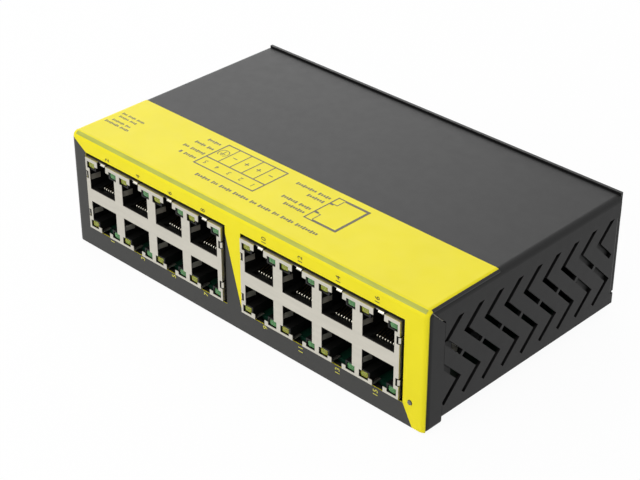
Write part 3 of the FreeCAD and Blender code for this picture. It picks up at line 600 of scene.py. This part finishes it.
def wiring_table():
    """Table of the five terminal ways: plain numbers and the signs of their polarity."""
    bm = bmesh.new()
    (left, right), (low, middle, high) = TABLE_ENDS, TABLE_ROWS
    half, thin, sign_half = TABLE_LINE / 2, TABLE_THIN / 2, SIGN_LINE / 2
    rectangle_line(bm, on_top, left, right, low, high, TABLE_LINE)
    bar(bm, on_top, left + TABLE_LINE, right - TABLE_LINE, middle - half, middle + half)
    pitch = (right - left - TABLE_LINE) / len(TABLE_WAYS)
    for k in range(1, len(TABLE_WAYS)):
        x = left + k * pitch + half
        bar(bm, on_top, x - thin, x + thin, middle + half, high - TABLE_LINE)
    for k, sign in enumerate(TABLE_WAYS):
        x, y = left + (k + 0.5) * pitch + half, WAY_SIGNS
        number = str(len(TABLE_WAYS) - k)
        numeral(bm, on_top, number, x, WAY_NUMBERS, NUMBER_SIZE, (-1, 0), (0, -1))
        if sign == "e":
            earth_sign(bm, x, y)
            continue
        bar(bm, on_top, x - SIGN_HALF, x + SIGN_HALF, y - sign_half, y + sign_half)
        if sign == "+":
            bar(bm, on_top, x - sign_half, x + sign_half, y + sign_half, y + SIGN_HALF)
            bar(bm, on_top, x - sign_half, x + sign_half, y - SIGN_HALF, y - sign_half)
    print_and_shade_sheet("wiring_table", bm, BLACK_INK)


DIAGRAM = (16.0, 29.0, 12.6, 28.1)  # left, right, low and high edge
# widths of the lines at the lights' end of the socket, round the rest of it, and of the lights
DIAGRAM_THIN, DIAGRAM_THICK, DIAGRAM_HAIR = 0.45, 0.95, 0.32
LIGHT_WIDE, LIGHT_STEP, LIGHT_TICK = 3.1, 1.3, 0.75
LIGHT_LOW, LIGHT_HIGH = 4.4, 4.0  # how far the lines beside the lights lie from the ends


def port_diagram():
    """Outline of a socket with its two lights."""
    bm = bmesh.new()
    left, right, low, high = DIAGRAM
    thin, thick, hair = DIAGRAM_THIN, DIAGRAM_THICK, DIAGRAM_HAIR / 2
    inside = left + thin
    past = left + LIGHT_WIDE
    bar(bm, on_top, left, inside, low, high)
    bar(bm, on_top, inside, past, low, low + thin)
    bar(bm, on_top, past, right, low, low + thick)
    bar(bm, on_top, inside, past, high - thin, high)
    bar(bm, on_top, past, right, high - thick, high)
    bar(bm, on_top, right - thick, right, low + thick, high - thick)
    y = low + LIGHT_LOW
    bar(bm, on_top, inside, past, y - hair, y + hair)
    bar(bm, on_top, past - DIAGRAM_HAIR, past, low + thick, y - hair)
    bar(bm, on_top, inside, inside + LIGHT_STEP, y + hair, y + LIGHT_TICK)
    y = high - LIGHT_HIGH
    bar(bm, on_top, inside, past, y - hair, y + hair)
    bar(bm, on_top, past - DIAGRAM_HAIR, past, y + hair, high - thick)
    bar(bm, on_top, inside, inside + LIGHT_STEP, y - LIGHT_TICK, y - hair)
    print_and_shade_sheet("port_diagram", bm, BLACK_INK)


# left end, right end, height of the middle and size of each line, and the shares of its words
TEXT_LINES = (
    (-72.6, -62.0, 18.8, 1.2, (2, 3, 3)), (-71.8, -63.4, 16.7, 1.2, (3, 2)),
    (-71.8, -63.0, 13.8, 1.2, (5, 2)), (-73.0, -61.6, 11.8, 1.3, (5, 3)),
    (-39.2, -33.4, 26.0, 1.5, (5,)), (-41.2, -32.8, 22.3, 1.5, (5, 3)),
    (-42.4, -32.8, 18.4, 1.5, (2, 5)), (-40.3, -32.8, 14.7, 1.5, (1, 4)),
    (0.6, 14.9, 25.7, 1.5, (5, 3)), (8.0, 14.9, 22.8, 1.5, (4,)),
    (2.9, 14.9, 17.2, 1.5, (4, 3)), (6.3, 14.9, 14.5, 1.5, (4,)),
    (-25.6, 26.4, 8.2, 1.6, (5, 2, 4, 5, 2, 4, 2, 4, 7)),
)


def text_lines():
    """Plain blocks in place of the small print."""
    bm = bmesh.new()
    for x0, x1, y, height, words in TEXT_LINES:
        word_bars(bm, on_top, x0, x1, y, height, words)
    print_and_shade_sheet("text_lines", bm, FAINT_INK)


# --- Sockets -------------------------------------------------------------------------------------
PIPE_SIDES, PIPE_CORNER = 28, 0.42  # the corner's power is 1 for an ellipse and 0 for a rectangle
PIPE_HALF_WIDE, PIPE_HALF_HIGH = 1.45 * MM, 1.0 * MM
PIPE_ASIDE, PIPE_UP = 5.35 * MM, 10.95 * MM  # from the middles of a socket and of the two rows
# depth behind the jack's face and share of the full size, along the rounded end of a light pipe
PIPE_END = ((0.75 * MM, 1.0), (0.5 * MM, 0.96), (0.36 * MM, 0.82), (0.29 * MM, 0.5))
PIPE_TIP = 0.27 * MM


def rounded(value):
    """Cosine or sine of a rounded rectangle's outline, from that of a circle."""
    return math.copysign(abs(value) ** PIPE_CORNER, value)


def light_pipe(bm, x, z):
    """Light pipe with rounded edges and a domed end."""
    loops = []
    for y, share in [(JACK_INSERT, 1.0)] + [(JACK_FACE + depth, share) for depth, share in PIPE_END]:
        loops.append([bm.verts.new((x + rounded(math.cos(turn)) * PIPE_HALF_WIDE * share, y,
                                    z + rounded(math.sin(turn)) * PIPE_HALF_HIGH * share))
                      for turn in full_turn(PIPE_SIDES)])
    skin(bm, loops)
    bm.faces.new(loops[0])
    tip = bm.verts.new((x, JACK_FACE + PIPE_TIP, z))
    for k in range(PIPE_SIDES):
        bm.faces.new((loops[-1][k], loops[-1][(k + 1) % PIPE_SIDES], tip))


def light_pipes():
    """Yellow lights at the left of each socket and green ones at its right."""
    for colour, side in (("yellow", -1), ("green", 1)):
        for letter in "ab":
            bm = bmesh.new()
            for x in columns(letter):
                for row in (-1, 1):
                    light_pipe(bm, x + side * PIPE_ASIDE, JACK_MIDDLE + row * PIPE_UP)
            node, slot = f"{colour}_light_pipes_{letter}", f"{colour}_lens"
            piece = add_object(f"{node}_domed", mesh_from(node, bm, smooth=True), MATERIALS[slot])
            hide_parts(node)


WAYS, WAY_PITCH = 8, 1.02 * MM
CONTACT_HALF_WIDE, CONTACT_HALF_THICK = 0.19 * MM, 0.13 * MM
CONTACT_SIDES, NOSE_SPANS = 8, 8
# depth behind the jack's face and height from the middle between the rows; the root's depth is the insert's
CONTACT_NOSE, NOSE_RADIUS = (3.86 * MM, 1.68 * MM), 0.34 * MM
CONTACT_KNEE, CONTACT_ROOT = (4.6 * MM, 2.1 * MM), 4.9 * MM


def contact_line():
    """Depth and height of the points along a contact, from its rolled nose to its root."""
    deep, height = CONTACT_NOSE
    turns = [math.radians(270 - 180 * k / NOSE_SPANS) for k in range(NOSE_SPANS + 1)]
    nose = [(deep + NOSE_RADIUS * math.cos(turn), height + NOSE_RADIUS * math.sin(turn)) for turn in turns]
    return nose + [CONTACT_KNEE, (JACK_INSERT - JACK_FACE, CONTACT_ROOT)]


def contact_rings():
    """Sideways place, depth and height of the corners of each section along a contact."""
    line = contact_line()
    rings = []
    for k, (deep, height) in enumerate(line):
        (deep0, height0), (deep1, height1) = line[max(k - 1, 0)], line[min(k + 1, len(line) - 1)]
        length = math.hypot(deep1 - deep0, height1 - height0)
        across = ((height0 - height1) / length, (deep1 - deep0) / length)
        corners = []
        for turn in full_turn(CONTACT_SIDES):
            aside, out = CONTACT_HALF_WIDE * math.cos(turn), CONTACT_HALF_THICK * math.sin(turn)
            corners.append((aside, deep + out * across[0], height + out * across[1]))
        rings.append(corners)
    return rings


def contacts():
    """Contact springs with rolled noses, which catch the light in each socket; behind the noses they take a
    darker copy of the metal, as painted shade.
    """
    rings = contact_rings()
    for letter in "ab":
        bm = bmesh.new()
        for x in columns(letter):
            for row in (-1, 1):
                for way in range(WAYS):
                    middle = x + (way - (WAYS - 1) / 2) * WAY_PITCH
                    loops = [[bm.verts.new((middle + aside, JACK_FACE + deep, JACK_MIDDLE + row * height))
                              for aside, deep, height in corners] for corners in rings]
                    # painted shade: the springs behind the noses take the darker copy of the metal
                    for face in skin(bm, loops)[NOSE_SPANS * CONTACT_SIDES:]:
                        face.material_index = 1
                    bm.faces.new(loops[0])
                    bm.faces.new(loops[-1])
        node = f"jack_contacts_{letter}"
        gold = MATERIALS["contact_gold"]
        piece = add_object(f"{node}_rolled", mesh_from(node, bm, smooth=True), gold)
        piece.data.materials.append(CONTACT_SHADE_COPY)
        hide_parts(node)


# --- Screws --------------------------------------------------------------------------------------
# radius and height along the recess and along the head: shares of the recess's or the head's radius, and of
# the head's height
RECESS_PROFILE = ((0.75, 0.5), (1.0, 0.98), (1.12, 1.0))
HEAD_PROFILE = ((0.62, 0.97), (0.8, 0.88), (0.93, 0.68), (1.0, 0.4), (1.0, 0.0))
RECESS_WAIST, RECESS_ARM, ARM_POWER = 0.13, 0.38, 1.4
HEAD_STEPS = 48
SCREW_RADIUS = 1.45 * MM
# outward direction and height of the heads
HEADS = {
    "rear_screws": ((0, 1, 0), 2.0 * MM),
    "bracket_screws": ((0, 1, 0), 1.8 * MM),
    "base_screws": ((0, 0, -1), 2.0 * MM),
}


def cross_recess(turn):
    """Radius of the cross recess in one direction, as a share of the head's radius."""
    return RECESS_WAIST + RECESS_ARM * max(0.0, math.cos(4 * turn)) ** ARM_POWER


def pan_head(bm, seat, outward, radius, height, shank):
    """Pan-head screw with a cross recess; outward points from its seat to the top of its head."""
    turned = Vector((0, 0, 1)).rotation_difference(outward).to_matrix()
    turns = full_turn(HEAD_STEPS)
    loops = [[(share * cross_recess(turn) * radius, up * height) for turn in turns]
             for share, up in RECESS_PROFILE]
    loops += [[(share * radius, up * height)] * HEAD_STEPS for share, up in HEAD_PROFILE]
    loops += [[(SCREW_RADIUS, up)] * HEAD_STEPS for up in (0.0, -shank)]
    rings = []
    for loop in loops:
        rings.append([bm.verts.new(seat + turned @ Vector((r * math.cos(turn), r * math.sin(turn), up)))
                      for turn, (r, up) in zip(turns, loop)])
    skin(bm, rings)
    bm.faces.new(rings[0])
    bm.faces.new(rings[-1])


def islands(mesh):
    """Low and high corner of each separate solid in a mesh."""
    bm = bmesh.new()
    bm.from_mesh(mesh)
    bmesh.ops.remove_doubles(bm, verts=bm.verts[:], dist=0.001 * MM)
    left = set(bm.verts)
    boxes = []
    while left:
        group, found = set(), [left.pop()]
        while found:
            vert = found.pop()
            group.add(vert)
            for link in vert.link_edges:
                other = link.other_vert(vert)
                if other in left:
                    left.remove(other)
                    found.append(other)
        boxes.append([Vector(pick(v.co[k] for v in group) for k in range(3)) for pick in (min, max)])
    bm.free()
    return sorted(boxes, key=lambda box: tuple(box[0]))


def screws():
    """Recessed heads in place of the plain ones that show."""
    for node, (outward, height) in HEADS.items():
        outward = Vector(outward)
        axis = 1 if outward.y else 2
        bm = bmesh.new()
        for low, high in islands(frame["nodes"][node].data):
            top = high[axis] if outward[axis] > 0 else low[axis]
            seat = (low + high) / 2
            seat[axis] = top - outward[axis] * height
            pan_head(bm, seat, outward, (high.x - low.x) / 2, height, high[axis] - low[axis] - height)
        zinc = MATERIALS["zinc_screw"]
        piece = add_object(f"{node}_recessed", mesh_from(node, bm, smooth=True), zinc)
        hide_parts(node)


# --- Camera, floor and light ---------------------------------------------------------------------
CAMERA_AT = Vector((0.320266, -0.336485, 0.292105))
CAMERA_LOOK = Vector((-0.59474, 0.61183, -0.52149))
CAMERA_LENS, SENSOR_WIDTH, CLIP_START = 94.62, 36.0, 0.01
WORLD_STRENGTH = 0.3
FLOOR_HALF, FLOOR_DROP = 6.0, 0.0001
# shares of plain white that the camera, glass and gloss see; the floor's rest keeps the object's shadow
FLOOR_SHARE, WORLD_SHARE = 0.955, 1.0
# place, aim and side in metres, and power in watts
LAMPS = {
    "rear_softbox": ((-1.0, 0.7, 0.64), (0, 0, 0.02), 1.1, 9.0),
    "front_softbox": ((-0.3, -1.0, 0.62), (0, 0, 0.02), 0.8, 6.0),
    "key_lamp": ((0.1, -1.0, 0.75), (0, 0, 0.02), 0.3, 2.0),
    "high_softbox": ((0.08, -0.05, 1.1), (0.03, 0, 0.04), 0.6, 3.0),
}


def make_camera():
    """Camera at the photo's place."""
    camera = bpy.data.objects.new("camera", bpy.data.cameras.new("camera"))
    bpy.context.scene.collection.objects.link(camera)
    camera.data.lens = CAMERA_LENS
    camera.data.sensor_width = SENSOR_WIDTH
    camera.data.clip_start = CLIP_START
    camera.location = CAMERA_AT
    camera.rotation_mode = "QUATERNION"
    camera.rotation_quaternion = CAMERA_LOOK.to_track_quat("-Z", "Y")
    bpy.context.scene.camera = camera


def seen_white(tree, shader, share):
    """Mixes a share of plain white into a shader, for the camera, glass and gloss alike."""
    path = tree.nodes.new("ShaderNodeLightPath")
    glow = tree.nodes.new("ShaderNodeEmission")
    glow.inputs["Color"].default_value = (1, 1, 1, 1)
    glow.inputs["Strength"].default_value = 1.0
    seen = path.outputs["Is Camera Ray"]
    for name in ("Is Transmission Ray", "Is Glossy Ray"):
        either = tree.nodes.new("ShaderNodeMath")
        either.operation = "MAXIMUM"
        tree.links.new(seen, either.inputs[0])
        tree.links.new(path.outputs[name], either.inputs[1])
        seen = either.outputs[0]
    part = tree.nodes.new("ShaderNodeMath")
    part.operation = "MULTIPLY"
    part.inputs[1].default_value = share
    tree.links.new(seen, part.inputs[0])
    mix = tree.nodes.new("ShaderNodeMixShader")
    tree.links.new(part.outputs[0], mix.inputs["Fac"])
    tree.links.new(shader, mix.inputs[1])
    tree.links.new(glow.outputs["Emission"], mix.inputs[2])
    return mix.outputs["Shader"]


def make_floor():
    """Plain white floor under the rest plane."""
    bm = bmesh.new()
    bmesh.ops.create_grid(bm, x_segments=1, y_segments=1, size=FLOOR_HALF)
    floor = bpy.data.objects.new("floor", mesh_from("floor", bm))
    bpy.context.scene.collection.objects.link(floor)
    floor.location = (0, 0, -FLOOR_DROP)
    paint = Surface("floor_white", srgb(245, 245, 245), 0.9)
    tree = paint.material.node_tree
    shader = seen_white(tree, paint.shader.outputs["BSDF"], FLOOR_SHARE)
    tree.links.new(shader, paint.nodes["Material Output"].inputs["Surface"])
    floor.data.materials.append(paint.material)


def make_world():
    """Even white light from all round."""
    world = bpy.data.worlds.new("studio")
    bpy.context.scene.world = world
    world.use_nodes = True
    tree = world.node_tree
    background = tree.nodes["Background"]
    background.inputs["Color"].default_value = (1, 1, 1, 1)
    background.inputs["Strength"].default_value = WORLD_STRENGTH
    shader = seen_white(tree, background.outputs["Background"], WORLD_SHARE)
    tree.links.new(shader, tree.nodes["World Output"].inputs["Surface"])


def make_lamps():
    """Square softboxes, each turned to its aim."""
    for name, (place, aim, side, power) in LAMPS.items():
        lamp = bpy.data.objects.new(name, bpy.data.lights.new(name, "AREA"))
        bpy.context.scene.collection.objects.link(lamp)
        lamp.data.shape = "RECTANGLE"
        lamp.data.size = lamp.data.size_y = side
        lamp.data.energy = power
        lamp.location = place
        lamp.rotation_mode = "QUATERNION"
        lamp.rotation_quaternion = (Vector(aim) - Vector(place)).to_track_quat("-Z", "Y")


# --- The scene -----------------------------------------------------------------------------------
dress_nodes()
dark_field()
fold_band()
painted_rim_shade()
port_numbers()
wiring_table()
port_diagram()
text_lines()
light_pipes()
contacts()
screws()

make_camera()
make_floor()
make_world()
make_lamps()
bpy.context.scene.view_settings.view_transform = "Standard"
